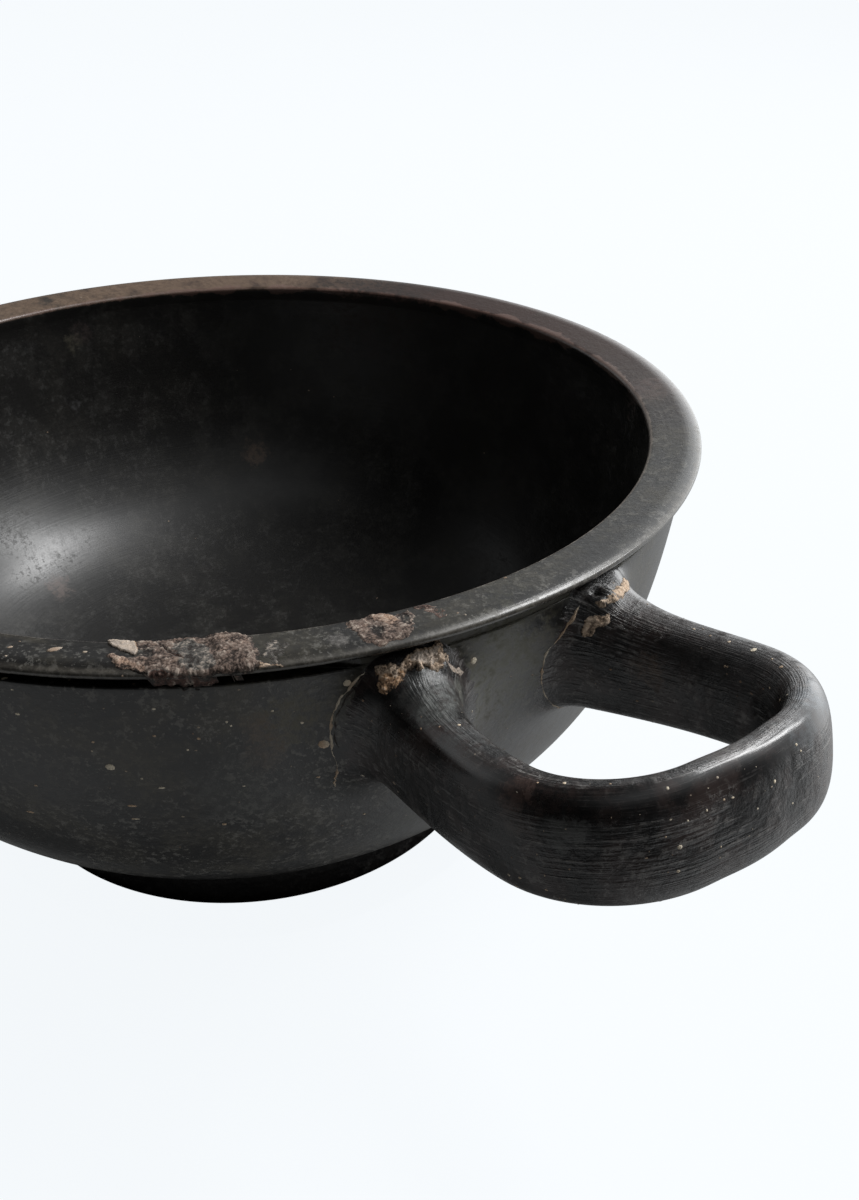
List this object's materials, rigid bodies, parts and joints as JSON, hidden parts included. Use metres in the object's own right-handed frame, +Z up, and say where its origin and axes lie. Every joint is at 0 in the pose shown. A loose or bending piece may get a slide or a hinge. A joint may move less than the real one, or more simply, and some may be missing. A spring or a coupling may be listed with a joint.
{
  "type": "one-handled bowl",
  "caption": "Deep round pottery bowl with a flat-topped rim, a ring foot and a horizontal strap handle, black-glazed, chipped and crusted at the rim.",
  "frame": {"origin": "on the resting plane of the foot, under the middle of the whole object's bounding box; the bowl's own axis stands 17.6 mm towards -X", "axes": "+Z up along the bowl's axis, +X from the bowl's axis to the middle of the handle, +Y to the left of the handle"},
  "size_m": [0.1752, 0.14, 0.0636],
  "materials": {
    "black_glaze": "semi-gloss black glaze, worn brown at the rim"
  },
  "bodies": {
    "root": {"black_glazed_bowl": "black_glaze"}
  },
  "joints": []
}
